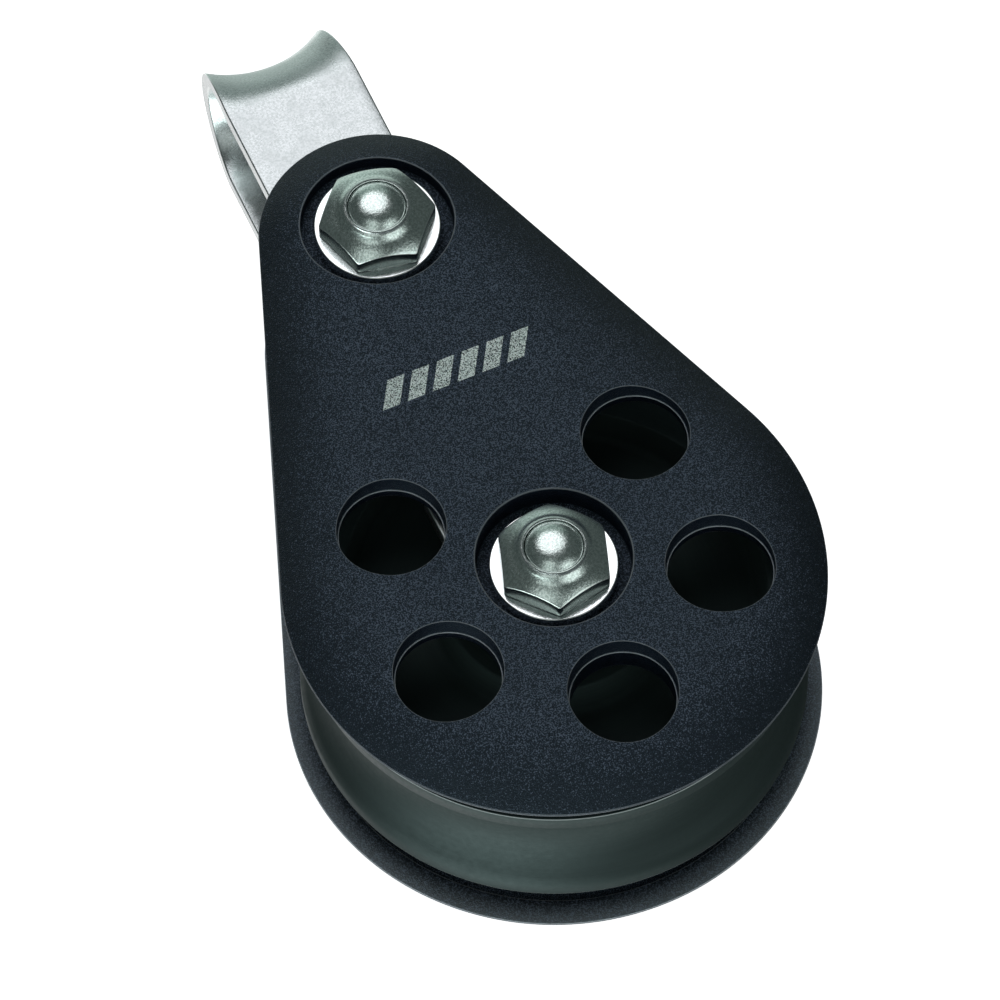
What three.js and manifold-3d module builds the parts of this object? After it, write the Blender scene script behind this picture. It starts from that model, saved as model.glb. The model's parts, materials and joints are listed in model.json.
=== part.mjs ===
// A single sheave block with a fixed eye, as an assembly of separate pieces.
// Millimetres, +Z up. The block lies on its two bolt heads: +Z runs along the axle towards the nuts,
// and +Y runs from the axle towards the eye. The origin is under the middle of the outline, on the floor.
import * as THREE from "three";
import { mergeVertices } from "three/addons/utils/BufferGeometryUtils.js";
import Module from "manifold-3d";

// Cheeks: two crowned teardrop mouldings, rounded about the axle and about the head bolt.
const CHEEK_R = 32;
const HEAD_R = 14.24;
const HEAD_REACH = 51.1; // from the axle to the head bolt
const CHEEK_DEPTH = 5.35; // from the ends of its bosses to its face
const RIM_DEPTH = 4.35; // from the lip round its edge to its face
const CROWN_W = 13;
const CROWN_H = 3.7;
const CHEEK_GAP = 24.6; // between the bosses of the two cheeks
const LIP_W = 3.2;
const POCKET_DEPTH = 1.85; // behind the ends of the bosses
const COUNTERBORE_R = 9.2;
const COUNTERBORE_DEPTH = 3.25;
const AXLE_BOSS_R = 11.5;
const HEAD_BOSS_R = 10.4;
const LOWER_BOSS_R = 8.4;
const BOSS_ROOT = 0.4; // how far the bosses reach into the moulding above the pocket
const HOLE_R = 6.45;
const HOLE_THROAT_R = 6.05;
const HOLE_STEP_DEPTH = 2.2;
const HOLE_PITCH_R = 19.4;
const HOLE_ANGLES = [-116.7, -53.7, 53.7, 116.7, 180]; // degrees from +Y

// Load straps, one inside each cheek.
const LOAD_STRAP_R = 9.5;
const LOAD_STRAP_T = 2;

// Sheave: a wide shallow groove between two flat flange lands.
const SHEAVE_R = 30.2;
const SHEAVE_W = 18.3;
const FLANGE_LAND = 2;
const GROOVE_DEPTH = 2.9;
const RIM_INNER_R = 25;
const WEB_W = 11;
const HUB_R = 13;
const WEB_FILLET = 1.2;

// Bearing stack on the axle.
const BUSH_R = 8;
const SLEEVE_R = 6;
const RUNNING_CLEARANCE = 0.06;
const THRUST_R = 10;
const THRUST_T = 1;

// Eye strap: a U with flat legs and a saddle-shaped crown.
const EYE_HALF_W = 8.53;
const EYE_CROWN_HALF_W = 7.63;
const EYE_HALF_H = 8.46;
const EYE_T = 2;
const EYE_CENTRE_REACH = 77.31; // from the axle to the centre of the crown's bend
const EYE_CROWN_REACH = 10.6;
const EYE_SADDLE = 2.65;
const EYE_BLEND = 1.3;
const SPACER_R = 6;
const PACKING_R = 8.5;

// Fasteners: M8.
const BOLT_R = 4;
const BOLT_TIP_R = 3.3;
const HEX_AF = 13;
const HEX_CORNER_R = 7.15;
const BOLT_HEAD_T = 5.3;
const BOLT_CHAMFER = 0.6;
const WASHER_R = 7.6;
const WASHER_T = 1.6;
const NUT_CROWN_R = 10.5;
const NUT_CORNER_T = 1.75;
const BOLT_RISE = 0.8; // of the bolt's domed end above the nut
const AXLE_NUT_TURN = 11.5;
const HEAD_NUT_TURN = 47.9;

// Fits.
const SEAT = 0.02; // between faces that are clamped together
const BOLT_CLEARANCE = 0.1;

// Facets: sides of a large or a small round piece, and steps along curves.
const FINE = 48;
const COARSE = 24;
const OUTLINE_STEPS = 12;
const CROWN_STEPS = 5;
const STRAP_TURN_STEPS = 16;
const STRAP_WIDTH_STEPS = 6;
const GROOVE_STEPS = 6;
const NUT_STEPS = 4;

// Levels, measured from the middle plane between the cheeks.
const BOSS_Z = CHEEK_GAP / 2;
const FACE_Z = BOSS_Z + CHEEK_DEPTH;
const LIP_Z = FACE_Z - RIM_DEPTH;
const POCKET_Z = BOSS_Z + POCKET_DEPTH;
const SEAT_Z = FACE_Z - COUNTERBORE_DEPTH;
const NUT_Z = SEAT_Z + WASHER_T;
const STRAP_Z = BOSS_Z - LOAD_STRAP_T;
const MIDDLE_Z = NUT_Z + BOLT_HEAD_T; // of the middle plane above the floor
const AXLE_Y = (CHEEK_R - EYE_CENTRE_REACH - EYE_CROWN_REACH) / 2;

const wasm = await Module();
wasm.setup();

// ---- solids -------------------------------------------------------------------------------------

function solid(geometry) {
  const bare = geometry.clone();
  bare.deleteAttribute("normal");
  bare.deleteAttribute("uv");
  const merged = mergeVertices(bare, 1e-4);
  return new wasm.Manifold(
    new wasm.Mesh({
      numProp: 3,
      vertProperties: new Float32Array(merged.attributes.position.array),
      triVerts: new Uint32Array(merged.index.array),
    }),
  );
}

function geometryOf(body) {
  const mesh = body.getMesh();
  const geometry = new THREE.BufferGeometry();
  geometry.setAttribute("position", new THREE.BufferAttribute(mesh.vertProperties, 3));
  geometry.setIndex(new THREE.BufferAttribute(mesh.triVerts, 1));
  return geometry;
}

// A solid of revolution about Z; each profile point is [radius, height], running from bottom to top.
function turned(points, segments) {
  const profile = points.map(([r, z]) => new THREE.Vector2(r, z));
  return new THREE.LatheGeometry(profile, segments).rotateX(Math.PI / 2);
}

function rod(radius, low, high, segments = COARSE) {
  return turned([[0, low], [radius, low], [radius, high], [0, high]], segments);
}

function ring(inner, outer, low, high, segments = COARSE) {
  return turned([[inner, low], [outer, low], [outer, high], [inner, high], [inner, low]], segments);
}

function extruded(shape, low, high, curveSegments) {
  const geometry = new THREE.ExtrudeGeometry(shape, {
    depth: high - low,
    bevelEnabled: false,
    curveSegments,
  });
  return geometry.translate(0, 0, low);
}

// The outline round two circles on the Y axis: one of radius r0 at y = 0, one of radius r1 at y = reach.
function teardrop(r0, r1, reach) {
  const lean = Math.asin((r0 - r1) / reach);
  const shape = new THREE.Shape();
  shape.absarc(0, reach, r1, lean, Math.PI - lean, false);
  shape.absarc(0, 0, r0, Math.PI - lean, 2 * Math.PI + lean, false);
  shape.closePath();
  return shape;
}

// ---- cheeks -------------------------------------------------------------------------------------

function cheekShell() {
  const edge = RIM_DEPTH - CROWN_H;
  const crowned = new THREE.ExtrudeGeometry(teardrop(CHEEK_R, HEAD_R, HEAD_REACH), {
    depth: 2 * edge,
    bevelThickness: CROWN_H,
    bevelSize: CROWN_W,
    bevelOffset: -CROWN_W,
    bevelSegments: CROWN_STEPS,
    curveSegments: OUTLINE_STEPS,
  });
  crowned.translate(0, 0, LIP_Z - edge);
  const below = new THREE.BoxGeometry(4 * CHEEK_R, 8 * CHEEK_R, CHEEK_DEPTH + 2);
  below.translate(0, 0, LIP_Z - CHEEK_DEPTH / 2 - 1);
  return solid(crowned).subtract(solid(below));
}

function holeCentre(degrees) {
  const angle = THREE.MathUtils.degToRad(degrees);
  return [-HOLE_PITCH_R * Math.sin(angle), HOLE_PITCH_R * Math.cos(angle)];
}

// The shallow pocket moulded in the inner face, which leaves a lip round the edge.
function cheekPocket() {
  const outline = teardrop(CHEEK_R - LIP_W, HEAD_R - LIP_W, HEAD_REACH);
  return solid(extruded(outline, LIP_Z - 1, POCKET_Z, OUTLINE_STEPS));
}

// The bosses at each bolt and at the lowest hole, which stand a little past the lip.
function cheekBosses() {
  const top = POCKET_Z + BOSS_ROOT;
  const [lowerX, lowerY] = holeCentre(180);
  return solid(rod(AXLE_BOSS_R, BOSS_Z, top))
    .add(solid(rod(HEAD_BOSS_R, BOSS_Z, top).translate(0, HEAD_REACH, 0)))
    .add(solid(rod(LOWER_BOSS_R, BOSS_Z, top).translate(lowerX, lowerY, 0)));
}

function steppedHole() {
  const step = FACE_Z - HOLE_STEP_DEPTH;
  const profile = [
    [0, BOSS_Z - 1],
    [HOLE_THROAT_R, BOSS_Z - 1],
    [HOLE_THROAT_R, step],
    [HOLE_R, step],
    [HOLE_R, FACE_Z + 1],
    [0, FACE_Z + 1],
  ];
  return turned(profile, COARSE);
}

function boltSeat(y) {
  const profile = [
    [0, BOSS_Z - 1],
    [BOLT_R + BOLT_CLEARANCE, BOSS_Z - 1],
    [BOLT_R + BOLT_CLEARANCE, SEAT_Z],
    [COUNTERBORE_R, SEAT_Z],
    [COUNTERBORE_R, FACE_Z + 1],
    [0, FACE_Z + 1],
  ];
  return turned(profile, COARSE).translate(0, y, 0);
}

function cheek() {
  let body = cheekShell().subtract(cheekPocket()).add(cheekBosses());
  for (const degrees of HOLE_ANGLES) {
    const [x, y] = holeCentre(degrees);
    body = body.subtract(solid(steppedHole().translate(x, y, 0)));
  }
  body = body.subtract(solid(boltSeat(0)));
  return body.subtract(solid(boltSeat(HEAD_REACH)));
}

// ---- straps -------------------------------------------------------------------------------------

function loadStrap() {
  const outline = teardrop(LOAD_STRAP_R, LOAD_STRAP_R, HEAD_REACH);
  const bore = BOLT_R + BOLT_CLEARANCE;
  return solid(extruded(outline, STRAP_Z, BOSS_Z - SEAT, OUTLINE_STEPS))
    .subtract(solid(rod(bore, 0, FACE_Z)))
    .subtract(solid(rod(bore, 0, FACE_Z).translate(0, HEAD_REACH, 0)));
}

// A point of the bent strap: across runs from -1 to 1 over its width, turn from 0 (front leg) to pi
// (rear leg) round the crown, and depth is measured inwards from the outer face.
function crownPoint(across, turn, depth) {
  const blend = Math.sin(turn) ** EYE_BLEND;
  const dip = EYE_SADDLE * blend * (1 - across * across) + depth;
  return [
    across * (EYE_HALF_W + (EYE_CROWN_HALF_W - EYE_HALF_W) * blend),
    EYE_CENTRE_REACH + (EYE_CROWN_REACH - dip) * Math.sin(turn),
    (EYE_HALF_H - dip) * Math.cos(turn),
  ];
}

// A flat bar with many cross-sections, whose vertices are then moved onto the bent strap.
function bentStrap() {
  const legEnd = HEAD_REACH - EYE_HALF_W;
  const length = STRAP_TURN_STEPS + 2;
  const bar = new THREE.BoxGeometry(2, length, 1, STRAP_WIDTH_STEPS, length, 1);
  const position = bar.attributes.position;
  for (let i = 0; i < position.count; i++) {
    const station = Math.round(position.getY(i) + STRAP_TURN_STEPS / 2);
    const depth = position.getZ(i) > 0 ? 0 : EYE_T;
    const turn = THREE.MathUtils.clamp(station / STRAP_TURN_STEPS, 0, 1) * Math.PI;
    const [x, y, z] = crownPoint(position.getX(i), turn, depth);
    const onLeg = station < 0 || station > STRAP_TURN_STEPS;
    position.setXYZ(i, x, onLeg ? legEnd : y, z);
  }
  return bar;
}

function eyeStrap() {
  const outline = teardrop(EYE_HALF_W, EYE_HALF_W + 0.01, 2 * HEAD_REACH);
  const rounded = extruded(outline, -FACE_Z, FACE_Z, OUTLINE_STEPS).translate(0, HEAD_REACH, 0);
  const bore = rod(BOLT_R + BOLT_CLEARANCE, -FACE_Z, FACE_Z).translate(0, HEAD_REACH, 0);
  return solid(bentStrap()).intersect(solid(rounded)).subtract(solid(bore));
}

// ---- sheave and bearing -------------------------------------------------------------------------

function sheave() {
  const half = SHEAVE_W / 2;
  const grooveHalf = half - FLANGE_LAND;
  const web = WEB_W / 2;
  const bore = BUSH_R + SEAT;
  const profile = [[bore, -half], [HUB_R, -half], [HUB_R + WEB_FILLET, -web]];
  profile.push([RIM_INNER_R - WEB_FILLET, -web], [RIM_INNER_R, -half], [SHEAVE_R, -half]);
  for (let i = 0; i <= GROOVE_STEPS; i++) {
    const across = (2 * i) / GROOVE_STEPS - 1;
    profile.push([SHEAVE_R - GROOVE_DEPTH * (1 - across * across), across * grooveHalf]);
  }
  profile.push([SHEAVE_R, half], [RIM_INNER_R, half], [RIM_INNER_R - WEB_FILLET, web]);
  profile.push([HUB_R + WEB_FILLET, web], [HUB_R, half], [bore, half], [bore, -half]);
  return turned(profile, FINE);
}

function sheaveBush() {
  const half = SHEAVE_W / 2;
  return ring(SLEEVE_R + RUNNING_CLEARANCE, BUSH_R, -half, half, FINE);
}

function axleSleeve() {
  const end = STRAP_Z - SEAT;
  return ring(BOLT_R + BOLT_CLEARANCE, SLEEVE_R, -end, end, FINE);
}

function thrustWasher() {
  const outer = STRAP_Z - SEAT;
  return ring(SLEEVE_R + RUNNING_CLEARANCE, THRUST_R, outer - THRUST_T, outer, FINE);
}

// ---- head packing -------------------------------------------------------------------------------

function headSpacer() {
  const end = EYE_HALF_H - EYE_T - SEAT;
  return ring(BOLT_R + BOLT_CLEARANCE, SPACER_R, -end, end);
}

function headPacking() {
  return ring(BOLT_R + BOLT_CLEARANCE, PACKING_R, EYE_HALF_H + SEAT, STRAP_Z - SEAT);
}

// ---- fasteners ----------------------------------------------------------------------------------

function hexagon() {
  const shape = new THREE.Shape();
  const corner = HEX_AF / Math.sqrt(3);
  for (let i = 0; i < 6; i++) {
    const angle = (i * Math.PI) / 3;
    const draw = i ? "lineTo" : "moveTo";
    shape[draw](corner * Math.cos(angle), corner * Math.sin(angle));
  }
  shape.closePath();
  return shape;
}

function washer() {
  return ring(BOLT_R + BOLT_CLEARANCE, WASHER_R, SEAT_Z + SEAT, NUT_Z - SEAT);
}

// The height of the nut's spherical crown at a radius, with its corners NUT_CORNER_T high.
function nutCrownZ(radius) {
  const sag = (r) => NUT_CROWN_R - Math.sqrt(NUT_CROWN_R ** 2 - r ** 2);
  return NUT_Z + NUT_CORNER_T + sag(HEX_CORNER_R) - sag(radius);
}

function nut() {
  const bore = BOLT_R + BOLT_CLEARANCE;
  const profile = [[bore, NUT_Z], [HEX_CORNER_R, NUT_Z]];
  for (let i = 0; i <= NUT_STEPS; i++) {
    const radius = THREE.MathUtils.lerp(HEX_CORNER_R, bore, i / NUT_STEPS);
    profile.push([radius, nutCrownZ(radius)]);
  }
  profile.push([bore, NUT_Z]);
  const prism = extruded(hexagon(), NUT_Z, NUT_Z + HEX_AF, 1);
  return solid(turned(profile, COARSE)).intersect(solid(prism));
}

// The hexagon head, with its corners chamfered towards the floor.
function boltHead() {
  const floor = -MIDDLE_Z;
  const corner = HEX_CORNER_R + BOLT_CHAMFER;
  const profile = [
    [0, floor],
    [HEX_AF / 2 - BOLT_CHAMFER, floor],
    [corner, floor + 2 * BOLT_CHAMFER],
    [corner, -NUT_Z],
    [0, -NUT_Z],
  ];
  return solid(turned(profile, COARSE)).intersect(solid(extruded(hexagon(), floor, -NUT_Z, 1)));
}

// The bolt's head rests on the floor, and its domed end stands out of the nut.
function bolt() {
  const crest = nutCrownZ(BOLT_R);
  const tip = crest + BOLT_RISE;
  const profile = [
    [0, -NUT_Z - 1],
    [BOLT_R, -NUT_Z - 1],
    [BOLT_R, crest],
    [BOLT_TIP_R, THREE.MathUtils.lerp(crest, tip, 0.45)],
    [BOLT_TIP_R / 2, THREE.MathUtils.lerp(crest, tip, 0.9)],
    [0, tip],
  ];
  return boltHead().add(solid(turned(profile, COARSE)));
}

// ---- materials ----------------------------------------------------------------------------------

function standard(color, roughness, metalness) {
  return new THREE.MeshStandardMaterial({ color, roughness, metalness });
}

const nylon = standard(0x23272e, 0.7, 0);
const acetal = standard(0x424f4e, 0.35, 0);
const packing = standard(0x1c1f24, 0.6, 0);
const stainless = standard(0xb9c0bd, 0.25, 1);
const bright = standard(0xe9ecea, 0.15, 1);
const bronze = standard(0xa27b4a, 0.4, 1);

// ---- assembly -----------------------------------------------------------------------------------

const block = new THREE.Group();
block.name = "single_sheave_block";
block.position.set(0, AXLE_Y, MIDDLE_Z);

// Adds a piece at y along the block; turn is in degrees about its own axis, and flipped puts it on
// the rear side.
function place(name, shape, material, { y = 0, turn = 0, flipped = false } = {}) {
  const geometry = shape.isBufferGeometry ? shape : geometryOf(shape);
  const mesh = new THREE.Mesh(geometry, material);
  mesh.name = name;
  mesh.position.y = y;
  mesh.rotation.y = flipped ? Math.PI : 0;
  mesh.rotation.z = THREE.MathUtils.degToRad(turn);
  block.add(mesh);
}

for (const [side, flipped] of [["front", false], ["rear", true]]) {
  place(side + "_cheek", cheek(), nylon, { flipped });
  place(side + "_load_strap", loadStrap(), stainless, { flipped });
  place("thrust_washer_" + side, thrustWasher(), packing, { flipped });
  place("head_packing_" + side, headPacking(), packing, { y: HEAD_REACH, flipped });
  place("axle_washer_" + side, washer(), bright, { flipped });
  place("head_washer_" + side, washer(), bright, { y: HEAD_REACH, flipped });
}
place("sheave", sheave(), acetal);
place("sheave_bush", sheaveBush(), bronze);
place("axle_sleeve", axleSleeve(), stainless);
place("eye_strap", eyeStrap(), stainless);
place("head_spacer", headSpacer(), stainless, { y: HEAD_REACH });
place("axle_bolt", bolt(), stainless, { turn: AXLE_NUT_TURN });
place("axle_nut", nut(), stainless, { turn: AXLE_NUT_TURN });
place("head_bolt", bolt(), stainless, { y: HEAD_REACH, turn: HEAD_NUT_TURN });
place("head_nut", nut(), stainless, { y: HEAD_REACH, turn: HEAD_NUT_TURN });

export default block;
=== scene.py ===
# The looks of a single sheave block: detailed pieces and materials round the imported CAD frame.
# Meshes are built in millimetres, each in its own frame, and placed in metres on the block.
import json
from math import asin, cos, hypot, pi, radians, sin, sqrt

import bmesh
import bpy
import numpy as np
from mathutils import Matrix, Vector
from mathutils.geometry import delaunay_2d_cdt


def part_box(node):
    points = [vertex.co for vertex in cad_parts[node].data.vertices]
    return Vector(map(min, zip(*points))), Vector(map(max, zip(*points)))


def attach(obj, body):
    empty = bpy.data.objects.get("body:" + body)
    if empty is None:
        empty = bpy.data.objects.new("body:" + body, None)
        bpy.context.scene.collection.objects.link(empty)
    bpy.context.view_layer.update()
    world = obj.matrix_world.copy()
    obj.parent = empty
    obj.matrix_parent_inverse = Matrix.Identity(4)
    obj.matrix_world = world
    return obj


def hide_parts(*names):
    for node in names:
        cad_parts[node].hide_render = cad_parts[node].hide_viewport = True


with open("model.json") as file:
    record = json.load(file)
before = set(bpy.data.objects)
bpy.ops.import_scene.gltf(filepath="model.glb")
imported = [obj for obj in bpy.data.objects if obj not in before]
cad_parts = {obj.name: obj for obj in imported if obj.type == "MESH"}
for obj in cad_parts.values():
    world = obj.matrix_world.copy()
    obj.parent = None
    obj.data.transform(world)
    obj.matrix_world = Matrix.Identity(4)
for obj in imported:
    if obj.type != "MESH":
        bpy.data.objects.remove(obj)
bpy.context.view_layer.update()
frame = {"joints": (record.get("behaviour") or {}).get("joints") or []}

MM = 0.001

# ---- sizes, in millimetres ----------------------------------------------------------------------

CHEEK_R = 32  # of the outline round the axle
HEAD_R = 14.24  # of the outline round the head bolt
CROWN_W = 13  # of the sloping edge of the face
CROWN_H = 4
CROWN_POWER = 2.3
RIM_DEPTH = 4.35
LIP_W = 3.2
POCKET_DEPTH = 1.85
COUNTERBORE_R = 9.2
COUNTERBORE_DEPTH = 3.25
AXLE_BOSS_R = 11.2
HEAD_BOSS_R = 10.4
LOWER_BOSS_R = 8.1
HOLE_R = 6.45
HOLE_THROAT_R = 6.2
HOLE_STEP_DEPTH = 2.2
HOLE_PITCH_R = 19.4
LOWEST_HOLE = 180
HOLE_ANGLES = [-116.7, -53.7, 53.7, 116.7, LOWEST_HOLE]  # degrees from +Y
LOAD_STRAP_R = 9.5
SHEAVE_R = 30.2
FLANGE_LAND = 2
GROOVE_DEPTH = 2.9
RIM_INNER_R = 25
SHEAVE_WEB = 5.5  # half the thickness between hub and rim
HUB_R = 13
BUSH_R = 8
SLEEVE_R = 6
THRUST_R = 10
THRUST_T = 1
EYE_HALF_W = 8.53
EYE_CROWN_HALF_W = 7.63
EYE_HALF_H = 8.46
EYE_T = 2
EYE_CROWN_REACH = 10.6  # from the centre of the bend to the crown
EYE_SADDLE = 2.65  # depth of the crown's hollow
EYE_BLEND = 1.3  # power with which the hollow grows round the bend
SPACER_R = 6
PACKING_R = 8.5
BOLT_R = 4
BOLT_TIP_R = 3.35
BORE_R = 4.1
HEX_AF = 12.4  # across the flats
HEX_CORNER_R = 7.08
WASHER_R = 7.6
NUT_CROWN = 0.0062  # rise of the nut's top for each cubic millimetre of radius
NUT_CORNER_T = 1.85  # thickness of the nut at its corners
AXLE_NUT_TURN = 11.5  # degrees
HEAD_NUT_TURN = 47.9
SEAT = 0.02  # between faces that are clamped together
FIT = 0.06  # between faces that turn on each other

# ---- places, from the frame ---------------------------------------------------------------------

AXLE = Vector(frame["joints"][0]["pos_m"])  # on the middle plane, in metres


def span(node):
    """A CAD node's lowest and highest corners in millimetres, from the axle on the middle plane."""
    low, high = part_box(node)
    return (low - AXLE) / MM, (high - AXLE) / MM


cheek_low, cheek_high = span("front_cheek")
sheave_low, sheave_high = span("sheave")
head_low, head_high = span("head_bolt")
strap_low, strap_high = span("front_load_strap")
eye_low, eye_high = span("eye_strap")
washer_low, washer_high = span("axle_washer_front")

HEAD_REACH = (head_low.y + head_high.y) / 2
BOSS_Z = cheek_low.z
FACE_Z = cheek_high.z
LIP_Z = FACE_Z - RIM_DEPTH
SEAT_Z = FACE_Z - COUNTERBORE_DEPTH
POCKET_Z = BOSS_Z + POCKET_DEPTH
NUT_Z = washer_high.z + SEAT
FLOOR_Z = head_low.z
SHEAVE_HALF = sheave_high.z
STRAP_Z = strap_low.z
EYE_CENTRE = eye_high.y - EYE_CROWN_REACH
EYE_BEND = pi * (EYE_HALF_H + EYE_CROWN_REACH) / 2  # length of the flat strap in the bend

# ---- mesh building ------------------------------------------------------------------------------

BOW = 2e-5  # of flat outlines while they are filled with triangles, per square millimetre
GRID_MARGIN = 0.6  # of a grid step that is kept clear beside an outline
CORNER_STEPS = 4
TURNED_STEPS = 128  # round a small turned piece
SHARP_EDGE = 40  # degrees, between faces that are shaded apart
MIDWAY = 0.3  # of a fillet, from the sharp corner to the middle of the curve, along each side


class Shell:
    """Rings of points, in millimetres, and the faces between them. Wear is 1 on a rubbed edge, which also
    takes a painted edge highlight.
    """

    def __init__(self):
        self.points = []
        self.wear_and_highlight = []
        self.faces = []

    def ring(self, points, wear_and_highlight=0.0):
        first = len(self.points)
        self.points.extend(points)
        self.wear_and_highlight.extend([wear_and_highlight] * len(points))
        return list(range(first, len(self.points)))

    def band(self, one, other):
        """Quads between two rings with as many points, or a fan where one ring is a single point."""
        count = max(len(one), len(other))
        for i in range(count):
            j = (i + 1) % count
            corners = [one[i % len(one)], one[j % len(one)], other[j % len(other)], other[i % len(other)]]
            self.faces.append(tuple(dict.fromkeys(corners)))

    def sweep(self, rings):
        for one, other in zip(rings, rings[1:]):
            self.band(one, other)

    def fill(self, outer, holes, step, height):
        """Triangles inside one ring and outside the others, with inner points on a grid."""
        loops = [np.array([self.points[i][:2] for i in ring]) for ring in [outer, *holes]]
        edge = np.concatenate(loops)
        ids = [i for ring in [outer, *holes] for i in ring]
        low, high = loops[0].min(0), loops[0].max(0)
        rows = np.arange(low[1], high[1], step * sqrt(0.75))
        grid = [
            (x + (row % 2) * step / 2, y)
            for row, y in enumerate(rows)
            for x in np.arange(low[0], high[0], step)
        ]
        grid = np.array(grid)
        grid = grid[inside(grid, loops)]
        gap = np.min(np.linalg.norm(grid[:, None] - edge[None], axis=2), axis=1)
        grid = grid[gap > GRID_MARGIN * step]
        ids.extend(self.ring([(x, y, height(x, y)) for x, y in grid]))
        bounds = []
        for loop in loops:
            start = len(bounds)
            bounds.extend((start + i, start + (i + 1) % len(loop)) for i in range(len(loop)))
        flat = [Vector(p) for p in bowed(np.concatenate([edge, grid])).tolist()]
        _, _, found, origin, _, _ = delaunay_2d_cdt(flat, bounds, [], 0, 1e-6)
        triangles = np.array([[origin[v][0] for v in face] for face in found])
        centres = np.array([p[:] for p in flat])[triangles].mean(axis=1)
        for face in triangles[inside(centres, [bowed(loop) for loop in loops])]:
            self.faces.append(tuple(ids[v] for v in face))


def bowed(points):
    """Flat points with straight edges bent outwards a little, so that they make no thin triangles."""
    return points * (1 - BOW * (points**2).sum(axis=1, keepdims=True))


def inside(points, loops):
    """Whether each point is inside an odd number of the closed loops."""
    crossings = np.zeros(len(points), int)
    for loop in loops:
        for (x0, y0), (x1, y1) in zip(loop, np.roll(loop, -1, axis=0)):
            if y0 == y1:
                continue
            level = (points[:, 1] >= min(y0, y1)) & (points[:, 1] < max(y0, y1))
            crossings += level & (points[:, 0] < x0 + (points[:, 1] - y0) * (x1 - x0) / (y1 - y0))
    return crossings % 2 == 1


def circle(radius, count, x=0.0, y=0.0):
    turns = [2 * pi * i / count for i in range(count)]
    return [(x + radius * cos(t), y + radius * sin(t)) for t in turns]


def rounded(corners):
    """A closed section [(radius, height, fillet)] with each corner replaced by a curve."""
    points = []
    for i, (r, z, fillet) in enumerate(corners):
        corner = Vector((r, z))
        before = Vector(corners[i - 1][:2]) - corner
        after = Vector(corners[(i + 1) % len(corners)][:2]) - corner
        if fillet == 0:
            points.append((corner, 0.0))
            continue
        start = corner + before.normalized() * fillet
        end = corner + after.normalized() * fillet
        for k in range(CORNER_STEPS + 1):
            s = k / CORNER_STEPS
            point = start * (1 - s) ** 2 + corner * 2 * s * (1 - s) + end * s**2
            points.append((point, 4 * s * (1 - s)))
    return points


def lathe(corners, count):
    """A ring turned about Z from a closed section that keeps off the axis."""
    shell = Shell()
    rings = []
    for (r, z), wear_and_highlight in rounded(corners):
        rings.append(shell.ring([(x, y, z) for x, y in circle(r, count)], wear_and_highlight))
    shell.sweep([*rings, rings[0]])
    return shell


def tube(inner, outer, low, high, fillet):
    corners = [(inner, low, fillet), (outer, low, fillet), (outer, high, fillet), (inner, high, fillet)]
    return lathe(corners, TURNED_STEPS)


def mesh_of(name, shell):
    """A closed, smooth-shaded mesh in metres, with its wear and painted edge highlight stored on the
    points.
    """
    mesh = bpy.data.meshes.new(name)
    mesh.from_pydata([Vector(p) * MM for p in shell.points], [], shell.faces)
    build = bmesh.new()
    build.from_mesh(mesh)
    bmesh.ops.recalc_face_normals(build, faces=build.faces)
    build.to_mesh(mesh)
    build.free()
    wear_and_highlight = mesh.attributes.new("wear_and_highlight", "FLOAT", "POINT")
    wear_and_highlight.data.foreach_set("value", shell.wear_and_highlight)
    mesh.shade_smooth()
    mesh.set_sharp_from_angle(angle=radians(SHARP_EDGE))
    return mesh


def place(node, mesh, material, y=0.0, turn=0.0, flipped=False, body="block"):
    """Puts a piece at y along the block, turned by degrees about its axis or flipped to the rear."""
    piece = bpy.data.objects.new(node + "_piece", mesh)
    bpy.context.scene.collection.objects.link(piece)
    if not mesh.materials:
        mesh.materials.append(material)
    piece.matrix_world = (
        Matrix.Translation(AXLE + Vector((0, y * MM, 0)))
        @ Matrix.Rotation(pi if flipped else 0, 4, "Y")
        @ Matrix.Rotation(radians(turn), 4, "Z")
    )
    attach(piece, body)
    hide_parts(node)
    return piece


# ---- cheeks -------------------------------------------------------------------------------------

OUTLINE_STEPS = {"head": 44, "side": 40, "axle": 128}
HOLE_STEPS = 72
SEAT_STEPS = 120
MOUTH_STEPS = 6
RIM_WIDTH = 4.0  # of the edge that is built as rings, inside the outline
RIM_RINGS = 12
FACE_GRID = 1.1
POCKET_GRID = 2.5
RIM_BEVEL = 0.06
LIP_FILLET = 0.12
SEAT_FILLET = 0.22
HOLE_FILLET = 0.1
EDGE_FILLET = 0.15
BOSS_FILLET = 0.2
COUNTERBORE_ROOT = 0.3
LEDGE_ROOT = [(0, 0.12), (0.1, 0)]  # (in, up) from the corner of a hole and its ledge
LEDGE_EDGE = [(0.1, 0, 0.2), (0.03, 0.02, 1), (0, 0.07, 1), (0, 0.14, 0)]  # (out, down, wear and painted edge highlight)
MOUTH_MARGIN = 0.25  # of flat face outside a hole's rolled edge
MOUTH_WEAR_AND_HIGHLIGHT = 0.4


def teardrop(inset, r0=CHEEK_R, r1=HEAD_R):
    """Points round the outline, moved in by inset; each inset gives as many points."""
    lean = asin((r0 - r1) / HEAD_REACH)
    r0, r1 = r0 - inset, r1 - inset
    points = []
    arcs = [(HEAD_REACH, r1, lean, pi - lean, "head"), (0, r0, pi - lean, 2 * pi + lean, "axle")]
    for centre, radius, start, end, part in arcs:
        for i in range(OUTLINE_STEPS[part]):
            t = start + (end - start) * i / OUTLINE_STEPS[part]
            points.append((radius * cos(t), centre + radius * sin(t)))
        foot, top = (0, r0), (HEAD_REACH, r1)
        (y0, a), (y1, b) = (top, foot) if part == "head" else (foot, top)
        for i in range(OUTLINE_STEPS["side"]):
            s = i / OUTLINE_STEPS["side"]
            radius, centre = a + (b - a) * s, y0 + (y1 - y0) * s
            points.append((radius * cos(end), centre + radius * sin(end)))
    return points


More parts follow.
